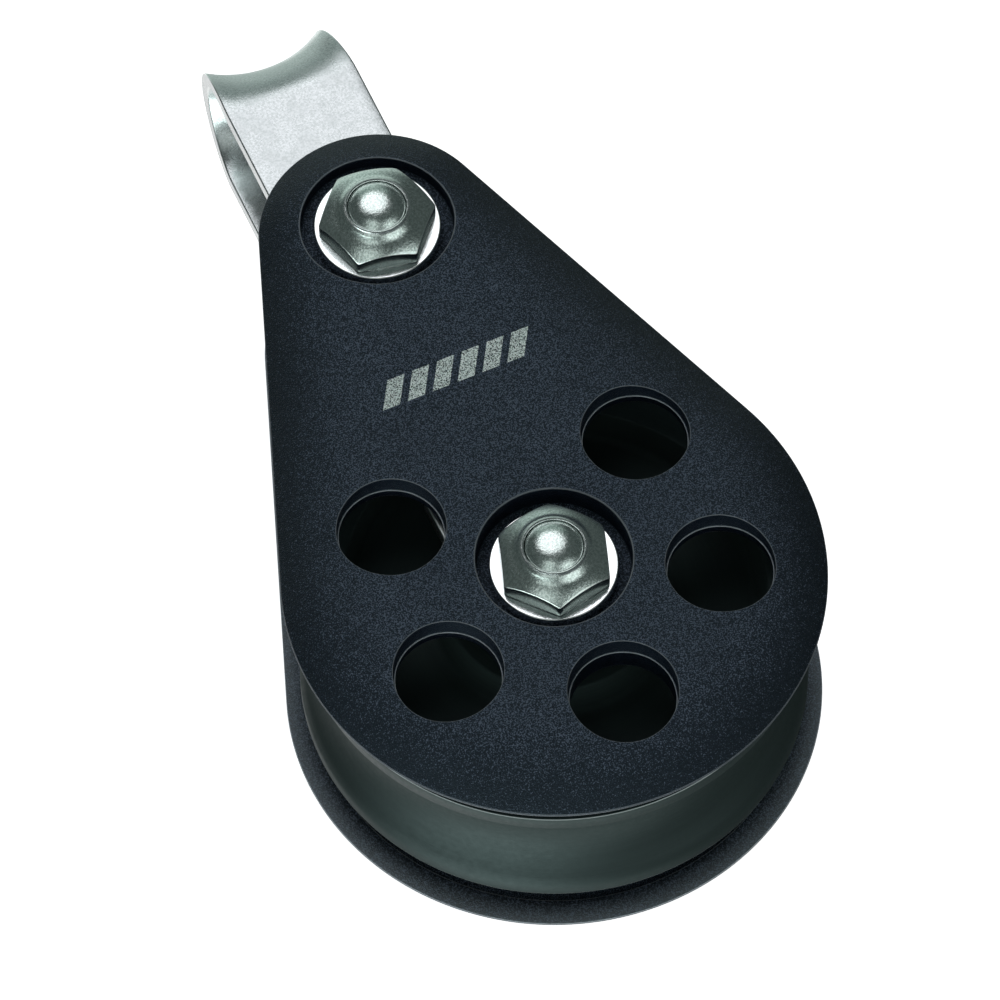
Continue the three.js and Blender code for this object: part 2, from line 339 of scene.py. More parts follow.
def crown_drop(inset):
    """How far the crowned face falls, at a distance inside the outline."""
    reach = min(max((CROWN_W - inset) / CROWN_W, 0), 1)
    return CROWN_H * reach**CROWN_POWER


def cheek_inset(x, y):
    """The distance from a point inside the outline to the outline."""
    lean = (CHEEK_R - HEAD_R) / HEAD_REACH
    rise = sqrt(1 - lean**2)
    along = y * rise - abs(x) * lean
    if along < 0:
        return CHEEK_R - hypot(x, y)
    if along > HEAD_REACH * rise:
        return HEAD_R - hypot(x, y - HEAD_REACH)
    return CHEEK_R - (abs(x) * rise + y * lean)


def face_z(x, y):
    return FACE_Z - crown_drop(cheek_inset(x, y))


def hole_centre(angle):
    return -HOLE_PITCH_R * sin(radians(angle)), HOLE_PITCH_R * cos(radians(angle))


def mouth(shell, x, y, radius, fillet, count):
    """Rings that roll from the face into a round hole: the first lies on the face."""
    rings = []
    for k in range(-1, MOUTH_STEPS + 1):
        turn = max(k, 0) / MOUTH_STEPS * pi / 2
        reach = radius + fillet * (1 - sin(turn)) + (MOUTH_MARGIN if k < 0 else 0)
        drop = fillet * (1 - cos(turn))
        points = [(px, py, face_z(px, py) - drop) for px, py in circle(reach, count, x, y)]
        # the middle of the roll carries wear and a painted edge highlight
        rings.append(shell.ring(points, MOUTH_WEAR_AND_HIGHLIGHT * sin(2 * turn)))
    return rings


def level_ring(shell, x, y, radius, z, count, wear_and_highlight=0.0):
    return shell.ring([(px, py, z) for px, py in circle(radius, count, x, y)], wear_and_highlight)


def stepped_hole(shell, angle, bottom):
    """A lightening hole with a small ledge; returns its first ring on the face and its last below."""
    x, y = hole_centre(angle)
    ledge = FACE_Z - HOLE_STEP_DEPTH
    rings = mouth(shell, x, y, HOLE_R, HOLE_FILLET, HOLE_STEPS)
    section = [
        *((HOLE_R - inward, ledge + up, 0) for inward, up in LEDGE_ROOT),
        *((HOLE_THROAT_R + out, ledge - down, wear_and_highlight) for out, down, wear_and_highlight in LEDGE_EDGE),
        (HOLE_THROAT_R, bottom + EDGE_FILLET, 0),
        (HOLE_THROAT_R + EDGE_FILLET / 3, bottom + EDGE_FILLET / 3, 1),
        (HOLE_THROAT_R + EDGE_FILLET, bottom, 0),
    ]
    rings.extend(level_ring(shell, x, y, r, z, HOLE_STEPS, wear_and_highlight) for r, z, wear_and_highlight in section)
    shell.sweep(rings)
    return rings[0], rings[-1]


def bolt_seat(shell, y, boss_r):
    """A counterbore and bolt bore; returns its first ring on the face and its boss's foot."""
    rings = mouth(shell, 0, y, COUNTERBORE_R, SEAT_FILLET, SEAT_STEPS)
    section = [
        (COUNTERBORE_R, SEAT_Z + COUNTERBORE_ROOT),
        (COUNTERBORE_R - MIDWAY * COUNTERBORE_ROOT, SEAT_Z + MIDWAY * COUNTERBORE_ROOT),
        (COUNTERBORE_R - COUNTERBORE_ROOT, SEAT_Z),
        (BORE_R + BOSS_FILLET, SEAT_Z),
        (BORE_R, SEAT_Z - BOSS_FILLET),
        (BORE_R, BOSS_Z + BOSS_FILLET),
        (BORE_R + BOSS_FILLET, BOSS_Z),
        (boss_r - BOSS_FILLET, BOSS_Z),
        (boss_r - MIDWAY * BOSS_FILLET, BOSS_Z + MIDWAY * BOSS_FILLET),
        (boss_r, BOSS_Z + BOSS_FILLET),
        (boss_r, POCKET_Z),
    ]
    rings.extend(level_ring(shell, 0, y, r, z, SEAT_STEPS) for r, z in section)
    shell.sweep(rings)
    return rings[0], rings[-1]


def lower_boss(shell, throat):
    """The boss round the lowest hole, from that hole's lower edge to its foot in the pocket."""
    x, y = hole_centre(LOWEST_HOLE)
    section = [
        (LOWER_BOSS_R - BOSS_FILLET, BOSS_Z),
        (LOWER_BOSS_R, BOSS_Z + BOSS_FILLET),
        (LOWER_BOSS_R, POCKET_Z),
    ]
    rings = [throat, *(level_ring(shell, x, y, r, z, HOLE_STEPS) for r, z in section)]
    shell.sweep(rings)
    return rings[-1]


def rim(shell):
    """The cheek's edge, from the pocket's wall round the lip and outline onto the crowned face."""
    # (inset, height, wear): the wear also paints a light edge highlight
    section = [
        (LIP_W, POCKET_Z, 0),
        (LIP_W, LIP_Z + BOSS_FILLET, 0),
        (LIP_W - MIDWAY * BOSS_FILLET, LIP_Z + MIDWAY * BOSS_FILLET, 0.5),
        (LIP_W - BOSS_FILLET, LIP_Z, 0),
        (LIP_FILLET, LIP_Z, 0.3),
        (MIDWAY * LIP_FILLET, LIP_Z + MIDWAY * LIP_FILLET, 1),
        (0, LIP_Z + LIP_FILLET, 0.3),
        (0, FACE_Z - CROWN_H - RIM_BEVEL, 0),
        (RIM_BEVEL * 2 / 3, FACE_Z - CROWN_H, 0.3),
    ]
    for k in range(1, RIM_RINGS + 1):
        inset = RIM_WIDTH * (k / RIM_RINGS) ** 1.5
        section.append((inset, FACE_Z - crown_drop(inset), 0))
    rings = []
    for inset, z, wear_and_highlight in section:
        rings.append(shell.ring([(x, y, z) for x, y in teardrop(inset)], wear_and_highlight))
    shell.sweep(rings)
    return rings[0], rings[-1]


def cheek():
    shell = Shell()
    pocket_edge, face_edge = rim(shell)
    face_holes, pocket_holes = [], []
    for angle in HOLE_ANGLES:
        bottom = BOSS_Z if angle == LOWEST_HOLE else POCKET_Z
        top, throat = stepped_hole(shell, angle, bottom)
        face_holes.append(top)
        pocket_holes.append(lower_boss(shell, throat) if angle == LOWEST_HOLE else throat)
    for y, boss_r in [(0, AXLE_BOSS_R), (HEAD_REACH, HEAD_BOSS_R)]:
        top, foot = bolt_seat(shell, y, boss_r)
        face_holes.append(top)
        pocket_holes.append(foot)
    shell.fill(face_edge, face_holes, FACE_GRID, face_z)
    shell.fill(pocket_edge, pocket_holes, POCKET_GRID, lambda x, y: POCKET_Z)
    return shell


# ---- straps -------------------------------------------------------------------------------------

STRAP_EDGE = 0.22
STRAP_EDGE_STEPS = 3
STRAP_ARC_STEPS = 40
STRAP_HOLE_STEPS = 48
LOAD_STRAP_STEPS = 40  # along each side
LOAD_STRAP_GRID = 2.5
EYE_STRAP_STEPS = 96
EYE_STRAP_GRID = 0.9


def plate_section(thickness):
    """(inset, depth, wear and painted edge highlight) over the rounded edge of a plate, from one face to
    the other.
    """
    arc = [radians(90 * k / STRAP_EDGE_STEPS) for k in range(STRAP_EDGE_STEPS + 1)]
    near = [(STRAP_EDGE * (1 - sin(t)), STRAP_EDGE * (1 - cos(t)), sin(2 * t)) for t in arc]
    far = [(inset, thickness - depth, wear_and_highlight) for inset, depth, wear_and_highlight in reversed(near)]
    return near + far


def plate(outline, holes, thickness, step, where):
    """A plate with rounded edges. Outline and holes are functions of the inset, and where maps a
    point of the flat plate, with its depth below the outer face, into space."""
    flat = Shell()
    faces = {0: [], 1: []}
    for loop in [outline, *holes]:
        rings = []
        for inset, depth, wear_and_highlight in plate_section(thickness):
            rings.append(flat.ring([(u, v, depth) for u, v in loop(inset)], wear_and_highlight))
        flat.sweep(rings)
        faces[0].append(rings[0])
        faces[1].append(rings[-1])
    for side, depth in [(0, 0.0), (1, thickness)]:
        flat.fill(faces[side][0], faces[side][1:], step, lambda u, v, d=depth: d)
    flat.points = [where(*p) for p in flat.points]
    return flat


def stadium(inset, half_w, reach, side_steps):
    """Points round a bar with round ends, whose end centres are at v = 0 and v = reach."""
    radius = half_w - inset
    points = []
    for centre, start, x in [(reach, 0, -radius), (0, pi, radius)]:
        for i in range(STRAP_ARC_STEPS):
            t = start + pi * i / STRAP_ARC_STEPS
            points.append((radius * cos(t), centre + radius * sin(t)))
        for i in range(side_steps):
            s = i / side_steps
            points.append((x, centre + (reach - 2 * centre) * s))
    return points


def strap(half_w, reach, side_steps, thickness, step, where):
    """A plate with round ends and a bolt hole at the centre of each."""
    return plate(
        lambda inset: stadium(inset, half_w, reach, side_steps),
        [lambda inset, v=v: circle(BORE_R + inset, STRAP_HOLE_STEPS, 0, v) for v in (0, reach)],
        thickness,
        step,
        where,
    )


def load_strap_point(u, v, depth):
    return u, v, strap_high.z - depth


def load_strap():
    thickness = strap_high.z - STRAP_Z
    return strap(LOAD_STRAP_R, HEAD_REACH, LOAD_STRAP_STEPS, thickness, LOAD_STRAP_GRID, load_strap_point)


def eye_point(u, v, depth):
    """Maps the flat eye strap into its bent form: v is 0 at the front leg's bolt hole."""
    leg = EYE_CENTRE - HEAD_REACH
    turn = min(max((v - leg) / EYE_BEND, 0), 1) * pi
    blend = sin(turn) ** EYE_BLEND
    across = u / EYE_HALF_W
    dip = EYE_SADDLE * blend * (1 - across**2) + depth
    x = across * (EYE_HALF_W + (EYE_CROWN_HALF_W - EYE_HALF_W) * blend)
    if v < leg:
        return x, HEAD_REACH + v, EYE_HALF_H - depth
    if v > leg + EYE_BEND:
        return x, HEAD_REACH + 2 * leg + EYE_BEND - v, depth - EYE_HALF_H
    y = EYE_CENTRE + (EYE_CROWN_REACH - dip) * sin(turn)
    return x, y, (EYE_HALF_H - dip) * cos(turn)


def eye_strap():
    reach = 2 * (EYE_CENTRE - HEAD_REACH) + EYE_BEND
    return strap(EYE_HALF_W, reach, EYE_STRAP_STEPS, EYE_T, EYE_STRAP_GRID, eye_point)


# ---- sheave and turned pieces -------------------------------------------------------------------

SHEAVE_STEPS = 256
GROOVE_STEPS = 16
RECESS_DRAFT = 1.2  # slope of the walls of the recess between hub and rim
RECESS_FILLET = 0.8
RIM_FILLET = 0.3
FLANGE_FILLET = 0.12
TUBE_FILLET = 0.2
SPACER_FILLET = 0.25
PACKING_FILLET = 0.3
WASHER_FILLET = 0.22
THRUST_FILLET = 0.15


def sheave():
    """A wheel with a recess in each side and a shallow hollow rim between flat flanges."""
    groove_half = SHEAVE_HALF - FLANGE_LAND
    corners = [
        (BUSH_R + SEAT, -SHEAVE_HALF, TUBE_FILLET),
        (HUB_R, -SHEAVE_HALF, RIM_FILLET),
        (HUB_R + RECESS_DRAFT, -SHEAVE_WEB, RECESS_FILLET),
        (RIM_INNER_R - RECESS_DRAFT, -SHEAVE_WEB, RECESS_FILLET),
        (RIM_INNER_R, -SHEAVE_HALF, RIM_FILLET),
        (SHEAVE_R, -SHEAVE_HALF, FLANGE_FILLET),
    ]
    for i in range(GROOVE_STEPS + 1):
        across = 2 * i / GROOVE_STEPS - 1
        corners.append((SHEAVE_R - GROOVE_DEPTH * (1 - across**2), across * groove_half, 0))
    corners.append((SHEAVE_R, SHEAVE_HALF, FLANGE_FILLET))
    corners.extend((r, -z, fillet) for r, z, fillet in reversed(corners[:5]))  # the other side
    return lathe(corners, SHEAVE_STEPS)


def washer():
    return tube(BORE_R, WASHER_R, washer_low.z, washer_high.z, WASHER_FILLET)


def thrust_washer():
    return tube(SLEEVE_R + FIT, THRUST_R, STRAP_Z - SEAT - THRUST_T, STRAP_Z - SEAT, THRUST_FILLET)


def head_packing():
    return tube(BORE_R, PACKING_R, EYE_HALF_H + SEAT, STRAP_Z - SEAT, PACKING_FILLET)


def bush():
    return tube(SLEEVE_R + FIT, BUSH_R, -SHEAVE_HALF, SHEAVE_HALF, TUBE_FILLET)


def sleeve():
    return tube(BORE_R, SLEEVE_R, -STRAP_Z + SEAT, STRAP_Z - SEAT, TUBE_FILLET)


def spacer():
    half = EYE_HALF_H - EYE_T - SEAT
    return tube(BORE_R, SPACER_R, -half, half, SPACER_FILLET)


# ---- fasteners ----------------------------------------------------------------------------------

HEX_STEPS = 240
HEX_EDGE = 0.2  # of the rounded lower edge of a nut or head
CREST_TRIM = 0.09  # from a nut's side to where its crown begins
CROWN_ROWS = 8
LIP_R = 3.72  # of the rolled lip round the nut's opening
LIP_RISE = 0.6
LIP_REACH = 1.3
LIP_ROLL = 0.2
LIP_ROWS = 6
ROLL_ROWS = 4
LIP_BORE_R = 3.5
LIP_BORE_DEPTHS = [0.4, 0.8]  # below the lip's crest
BORE_TOP_DEPTH = 1.3
HEAD_CHAMFER = 0.6
DOME_H = 1.1  # of the bolt's rounded end
DOME_ROWS = 10
DOME_RISE = 0.9  # above the nut's lip
THREAD_END_R = BOLT_TIP_R + 0.06


def hex_side(trim):
    """The radius at each angle of a hexagon with rounded corners, moved in by trim."""

    def radius(turn):
        off = turn % (pi / 3) - pi / 6
        return min((HEX_AF / 2 - trim) / cos(off), HEX_CORNER_R - trim)

    return radius


def crown_z(radius):
    return NUT_Z + NUT_CORNER_T + NUT_CROWN * (HEX_CORNER_R**3 - radius**3)


def under_crown(depth):
    return lambda radius: crown_z(radius) - depth


def hex_ring(shell, radius, height, wear_and_highlight=0.0):
    """A ring; its radius may be a function of the angle, and its height a function of the radius."""
    points = []
    for i in range(HEX_STEPS):
        turn = 2 * pi * i / HEX_STEPS
        r = radius(turn) if callable(radius) else radius
        z = height(r) if callable(height) else height
        points.append((r * cos(turn), r * sin(turn), z))
    return shell.ring(points, wear_and_highlight)


def between_rings(outer, inner_radius, share):
    """The radius at each angle, partly from an outline to a round."""
    return lambda turn: (1 - share) * outer(turn) + share * inner_radius


def nut():
    """A hexagon whose crowned top rises to a rolled lip round the bolt's end."""
    foot = LIP_R + LIP_REACH
    crest = crown_z(LIP_R) + LIP_RISE
    # rows of (radius, height, wear); the wear also paints a light edge highlight
    section = [
        (BORE_R, NUT_Z + 2 * HEX_EDGE),
        (BORE_R + 2 * HEX_EDGE, NUT_Z),
        (hex_side(HEX_EDGE), NUT_Z),
        (hex_side(0), NUT_Z + HEX_EDGE),
        (hex_side(0), under_crown(0.1)),
        (hex_side(0.02), under_crown(0.02), 1.0),
        (hex_side(CREST_TRIM), crown_z, 0.5),
    ]
    for k in range(1, CROWN_ROWS + 1):
        section.append((between_rings(hex_side(CREST_TRIM), foot, k / CROWN_ROWS), crown_z))
    for k in range(1, LIP_ROWS):
        s = k / LIP_ROWS
        section.append((foot - s * (LIP_REACH - LIP_ROLL), under_crown(-LIP_RISE * s**2)))
    for k in range(ROLL_ROWS + 1):
        turn = pi * k / ROLL_ROWS
        section.append((LIP_R + LIP_ROLL * cos(turn), crest - LIP_ROLL * (1 - sin(turn)), 1.0))
    section.extend((LIP_BORE_R, crest - depth) for depth in LIP_BORE_DEPTHS)
    section.append((BORE_R, crest - BORE_TOP_DEPTH))
    shell = Shell()
    rings = [hex_ring(shell, *row) for row in section]
    shell.sweep([*rings, rings[0]])
    return shell


def bolt():
    """A hexagon head, a shank, and the rounded end that shows in the nut."""
    flat_r = HEX_AF / 2 - HEAD_CHAMFER
    slope = 2 * HEAD_CHAMFER / (HEX_CORNER_R + HEAD_CHAMFER - flat_r)
    under = -NUT_Z
    tip = crown_z(LIP_R) + LIP_RISE + DOME_RISE
    edge = tip - DOME_H

    def chamfer(lift):
        return lambda radius: FLOOR_Z + slope * (radius - flat_r) + lift

    # rows of (radius, height, wear); the wear also paints a light edge highlight
    section = [
        (flat_r / 2, FLOOR_Z),
        (flat_r - 0.1, FLOOR_Z),
        (flat_r, FLOOR_Z + 0.03, 0.7),
        (hex_side(0.16), chamfer(0)),
        (hex_side(0), chamfer(0.12), 1.0),
        (hex_side(0), under - HEX_EDGE),
        (hex_side(HEX_EDGE), under),
        (BOLT_R + HEX_EDGE, under),
        (BOLT_R, under + HEX_EDGE),
        (BOLT_R, edge - 1.9),
        (THREAD_END_R, edge - 1.3),
        (THREAD_END_R, edge - 0.08),
        (BOLT_TIP_R + 0.03, edge - 0.02, 0.5),
    ]
    for k in range(DOME_ROWS):
        s = 1 - k / DOME_ROWS
        section.append((BOLT_TIP_R * s, tip - DOME_H * s**3))
    shell = Shell()
    rings = [shell.ring([(0, 0, FLOOR_Z)])]
    rings.extend(hex_ring(shell, *row) for row in section)
    rings.append(shell.ring([(0, 0, tip)]))
    shell.sweep(rings)
    return shell


# ---- materials ----------------------------------------------------------------------------------


class Nodes:
    """Short calls that add nodes to one material."""

    def __init__(self, name):
        self.material = bpy.data.materials.new(name)
        self.material.use_nodes = True
        self.tree = self.material.node_tree
        self.shader = self.tree.nodes["Principled BSDF"]
        self.place = self.add("ShaderNodeTexCoord").outputs["Object"]  # in metres

    def add(self, kind, **settings):
        node = self.tree.nodes.new(kind)
        for key, value in settings.items():
            setattr(node, key, value)
        return node

    def put(self, value, socket):
        if isinstance(value, bpy.types.NodeSocket):
            self.tree.links.new(value, socket)
        else:
            socket.default_value = value

    def math(self, operation, one, other=0.0):
        node = self.add("ShaderNodeMath", operation=operation)
        self.put(one, node.inputs[0])
        self.put(other, node.inputs[1])
        return node.outputs[0]

    def noise(self, scale, detail=2.0, rough=0.5, where=None):
        """Noise whose features are about 1 / scale metres across."""
        node = self.add("ShaderNodeTexNoise")
        self.put(self.place if where is None else where, node.inputs["Vector"])
        node.inputs["Scale"].default_value = scale
        node.inputs["Detail"].default_value = detail
        node.inputs["Roughness"].default_value = rough
        return node.outputs["Fac"]

    def stretch(self, x, y, z):
        """The object's own coordinates, scaled along each axis."""
        node = self.add("ShaderNodeVectorMath", operation="MULTIPLY")
        self.put(self.place, node.inputs[0])
        node.inputs[1].default_value = (x, y, z)
        return node.outputs[0]

    def split(self, vector):
        node = self.add("ShaderNodeSeparateXYZ")
        self.put(vector, node.inputs[0])
        return node.outputs

    def wheel(self):
        """(radius, 0, height) of the point about the piece's own axis, for turned marks."""
        x, y, z = self.split(self.place)
        square = self.math("ADD", self.math("MULTIPLY", x, x), self.math("MULTIPLY", y, y))
        join = self.add("ShaderNodeCombineXYZ")
        self.put(self.math("SQRT", square), join.inputs[0])
        self.put(z, join.inputs[2])
        return join.outputs[0]

    def between(self, factor, low, high, to_low, to_high):
        node = self.add("ShaderNodeMapRange", clamp=True)
        self.put(factor, node.inputs["Value"])
        for name, value in [("From Min", low), ("From Max", high), ("To Min", to_low), ("To Max", to_high)]:
            node.inputs[name].default_value = value
        return node.outputs["Result"]

    def colours(self, factor, *stops):
        """A ramp of (position, (r, g, b)) stops."""
        node = self.add("ShaderNodeValToRGB")
        ramp = node.color_ramp
        while len(ramp.elements) < len(stops):
            ramp.elements.new(0.5)
        for element, (position, colour) in zip(ramp.elements, stops):
            element.position = position
            element.color = (*colour, 1)
        self.put(factor, node.inputs["Fac"])
        return node.outputs["Color"]

    def mix(self, factor, one, other):
        node = self.add("ShaderNodeMix", data_type="RGBA")
        self.put(factor, node.inputs["Factor"])
        for value, socket in [(one, node.inputs[6]), (other, node.inputs[7])]:
            self.put(value if isinstance(value, bpy.types.NodeSocket) else (*value, 1), socket)
        return node.outputs[2]

    def upright(self, flat, steep):
        """1 on walls whose normal's rise is less than flat, down to 0 where it is more than steep."""
        rise = self.split(self.add("ShaderNodeTexCoord").outputs["Normal"])[2]
        return self.between(self.math("ABSOLUTE", rise), flat, steep, 1, 0)

    def wear_and_highlight(self):
        return self.add("ShaderNodeAttribute", attribute_name="wear_and_highlight").outputs["Fac"]

    def bump(self, height, distance, strength=1.0, below=None):
        """Bump of so many metres, on top of another bump if one is given."""
        node = self.add("ShaderNodeBump")
        self.put(height, node.inputs["Height"])
        node.inputs["Distance"].default_value = distance
        node.inputs["Strength"].default_value = strength
        if below is not None:
            self.put(below, node.inputs["Normal"])
        return node.outputs["Normal"]

    def finish(self, colour, roughness, normal, metallic=0.0, **fixed):
        self.put(colour, self.shader.inputs["Base Color"])
        self.put(roughness, self.shader.inputs["Roughness"])
        self.put(normal, self.shader.inputs["Normal"])
        self.put(metallic, self.shader.inputs["Metallic"])
        for name, value in fixed.items():
            self.shader.inputs[name.replace("_", " ")].default_value = value
        return self.material


def nylon(name, with_band=False):
    """Black moulded nylon with a sandy grain and painted shade that thins its light specks on slopes and
    colours steep walls near-black; rubbed edges carry a painted highlight; the front cheek has a printed
    band.
    """
    n = Nodes(name)
    grain = n.noise(6500, 1, 0.5)
    sand = n.noise(2200, 2, 0.6)
    cloud = n.noise(90, 3, 0.5)
    speck = n.math("ADD", n.math("MULTIPLY", grain, 0.85), n.math("MULTIPLY", sand, 0.15))
    # painted shade: slopes lose light specks, so the sloping edges read darker
    speck_with_slope_shade = n.math("SUBTRACT", speck, n.math("MULTIPLY", n.upright(0.85, 1.0), 0.12))
    colour = n.colours(
        speck_with_slope_shade,
        (0.42, (0.001, 0.002, 0.003)),
        (0.5, (0.006, 0.009, 0.015)),
        (0.58, (0.1, 0.122, 0.165)),
    )
    shade = n.between(cloud, 0.35, 0.65, 0.85, 1.12)
    tinted = n.mix(shade, (0.0, 0.0, 0.0), colour)
    # painted shade: steep walls of holes, recesses and the outline are coloured near-black
    tinted = n.mix(n.upright(0.3, 0.7), tinted, (0.002, 0.004, 0.010))
    # rubbed edges, with a painted edge highlight in the same light colour
    rubbed_and_highlit = n.mix(n.math("MULTIPLY", n.wear_and_highlight(), 0.9), tinted, (0.55, 0.58, 0.62))
    roughness = n.between(sand, 0.3, 0.7, 0.33, 0.48)
    band = 0.0
    if with_band:
        band = rope_band(n, speck)
        ink = n.colours(
            speck,
            (INK_GAP, (0.25, 0.3, 0.28)),
            (0.5, (0.74, 0.82, 0.78)),
            (0.58, (0.95, 1.0, 0.98)),
        )
        rubbed_and_highlit = n.mix(band, rubbed_and_highlit, ink)
    normal = n.bump(speck, 0.00018)
    n.shader.inputs["Specular Tint"].default_value = (0.6, 0.78, 1, 1)
    return n.finish(rubbed_and_highlit, roughness, normal, metallic=band, Specular_IOR_Level=0.47)


BAND_Y = 28.1
BAND_W = 19
BAND_H = 3.6
BAND_PITCH = 3.2
BAND_SLANT = 0.6
LOZENGE_SHARE = 0.68  # of the pitch that is printed
INK_GAP = 0.4  # of the grain's height, below which there is no ink


def rope_band(n, speck):
    """1 on a printed band of slanted lozenges like the lay of a rope, with pin-holes in the ink."""
    place_x, place_y, place_z = n.split(n.place)
    x = n.math("DIVIDE", place_x, MM)
    y = n.math("SUBTRACT", n.math("DIVIDE", place_y, MM), BAND_Y)
    leaning = n.math("DIVIDE", n.math("SUBTRACT", x, n.math("MULTIPLY", y, BAND_SLANT)), BAND_PITCH)
    across = n.math("ABSOLUTE", n.math("SUBTRACT", n.math("FRACT", leaning), 0.5))
    lozenge = n.math("LESS_THAN", across, LOZENGE_SHARE / 2)
    high = n.math("LESS_THAN", n.math("ABSOLUTE", y), BAND_H / 2)
    wide = n.math("LESS_THAN", n.math("ABSOLUTE", leaning), BAND_W / BAND_PITCH / 2)
    above = n.math("GREATER_THAN", place_z, FACE_Z * MM / 2)
    inked = n.math("GREATER_THAN", speck, INK_GAP)
    area = n.math("MULTIPLY", n.math("MULTIPLY", lozenge, high), n.math("MULTIPLY", wide, above))
    return n.math("MULTIPLY", area, inked)


def acetal():
    """Dark turned acetal with fine marks round it, a painted highlight on the flange edges and a dull web.
    """
    n = Nodes("turned_acetal")
    wheel = n.wheel()
    marks = n.noise(2600, 3, 0.6, wheel)
    wide = n.noise(420, 2, 0.5, wheel)
    dust = n.noise(1500, 3, 0.6)
    blend = n.math("ADD", n.math("MULTIPLY", marks, 0.5), n.math("MULTIPLY", wide, 0.5))
    colour = n.colours(blend, (0.3, (0.006, 0.010, 0.010)), (0.7, (0.012, 0.020, 0.019)))
    radius = n.split(wheel)[0]
    at_rim = n.math("GREATER_THAN", radius, (SHEAVE_R - 1) * MM)
    # painted highlight: a pale colour on the rim's flange edges
    worn_and_highlit = n.mix(n.math("MULTIPLY", n.wear_and_highlight(), at_rim), colour, (0.4, 0.43, 0.43))
    turned = n.between(dust, 0.3, 0.7, 0.46, 0.56)
    dull = n.between(radius, RIM_INNER_R * MM, (RIM_INNER_R + 1) * MM, 0.8, 0)
    roughness = n.math("MAXIMUM", turned, dull)
    normal = n.bump(dust, 0.00002, 0.3, n.bump(marks, 0.00003, 0.5))
    n.shader.inputs["Specular Tint"].default_value = (0.8, 1, 1, 1)
    return n.finish(worn_and_highlit, roughness, normal, Specular_IOR_Level=0.5)


def steel(name, dark, light, rough, grain_scale, grain_depth, drawn=None, painted_side_shade=None):
    """Stainless steel with a grain, stretched into fine lines by drawn, and rubbed edges with a painted
    near-white highlight. A colour for upright walls, when given, paints shade on them, as on the nut's
    sides.
    """
    n = Nodes(name)
    where = n.stretch(*drawn) if drawn else n.place
    grain = n.noise(grain_scale, 2, 0.6, where)
    patch = n.noise(260, 3, 0.5)
    colour = n.colours(grain, (0.36, dark), (0.64, light))
    # painted shade: upright walls take the darker given colour
    if painted_side_shade is not None:
        colour = n.mix(n.upright(0.2, 0.5), colour, painted_side_shade)
    # rubbed edges, with a painted edge highlight in a near-white colour
    worn_and_highlit = n.mix(n.math("MULTIPLY", n.wear_and_highlight(), 0.7), colour, (0.92, 0.94, 0.93))
    varied = n.between(patch, 0.3, 0.7, rough - 0.04, rough + 0.04)
    return n.finish(worn_and_highlit, varied, n.bump(grain, grain_depth), metallic=1.0)


def bronze():
    """Turned bearing bronze."""
    n = Nodes("bearing_bronze")
    marks = n.noise(2200, 2, 0.5, n.wheel())
    colour = n.colours(marks, (0.3, (0.34, 0.2, 0.09)), (0.7, (0.56, 0.36, 0.17)))
    roughness = n.between(marks, 0.3, 0.7, 0.32, 0.48)
    return n.finish(colour, roughness, n.bump(marks, 0.00001, 0.4), metallic=1.0)


def packing():
    """Dull dark plastic of the thrust washers and packing rings."""
    n = Nodes("packing_plastic")
    grain = n.noise(3200, 3, 0.6)
    colour = n.colours(grain, (0.3, (0.008, 0.009, 0.011)), (0.7, (0.026, 0.029, 0.034)))
    roughness = n.between(grain, 0.3, 0.7, 0.45, 0.6)
    return n.finish(colour, roughness, n.bump(grain, 0.00003, 0.5), Specular_IOR_Level=0.35)


cheek_plain = nylon("moulded_nylon")
cheek_printed = nylon("moulded_nylon_printed", with_band=True)
sheave_plastic = acetal()
strap_steel = steel(
    "strap_steel",
    dark=(0.5, 0.53, 0.52),
    light=(0.68, 0.7, 0.69),
    rough=0.3,
    grain_scale=1400,
    grain_depth=0.00001,
    drawn=(1, 0.05, 1),
)
eye_steel = steel(
    "eye_steel",
    dark=(0.5, 0.52, 0.52),
    light=(0.66, 0.67, 0.68),
    rough=0.27,
    grain_scale=4200,
    grain_depth=0.00002,
)
nut_steel = steel(
    "tumbled_steel",
    dark=(0.58, 0.65, 0.62),
    light=(0.86, 0.92, 0.89),
    rough=0.24,
    grain_scale=3600,
    grain_depth=0.000025,
    # painted shade: the nut's upright sides are coloured darker
    painted_side_shade=(0.6, 0.68, 0.66),
)
washer_steel = steel(
    "bright_steel",
    dark=(0.9, 0.92, 0.92),
    light=(0.98, 0.98, 0.98),
    rough=0.16,
    grain_scale=3600,
    grain_depth=0.00001,
)
bush_bronze = bronze()
packing_plastic = packing()

# ---- the block ----------------------------------------------------------------------------------

cheek_mesh = mesh_of("cheek", cheek())
place("front_cheek", cheek_mesh.copy(), cheek_printed)
place("rear_cheek", cheek_mesh, cheek_plain, flipped=True)

strap_mesh = mesh_of("load_strap", load_strap())
washer_mesh = mesh_of("washer", washer())
thrust_mesh = mesh_of("thrust_washer", thrust_washer())
packing_mesh = mesh_of("head_packing", head_packing())
for side, flipped in [("front", False), ("rear", True)]:
    place(side + "_load_strap", strap_mesh, strap_steel, flipped=flipped)
    place("thrust_washer_" + side, thrust_mesh, packing_plastic, flipped=flipped)
    place("head_packing_" + side, packing_mesh, packing_plastic, y=HEAD_REACH, flipped=flipped)
    place("axle_washer_" + side, washer_mesh, washer_steel, flipped=flipped)
    place("head_washer_" + side, washer_mesh, washer_steel, y=HEAD_REACH, flipped=flipped)

place("sheave", mesh_of("sheave", sheave()), sheave_plastic, body="sheave")
place("sheave_bush", mesh_of("bush", bush()), bush_bronze, body="sheave")
place("axle_sleeve", mesh_of("sleeve", sleeve()), strap_steel)
place("head_spacer", mesh_of("spacer", spacer()), strap_steel, y=HEAD_REACH)
place("eye_strap", mesh_of("eye_strap", eye_strap()), eye_steel)

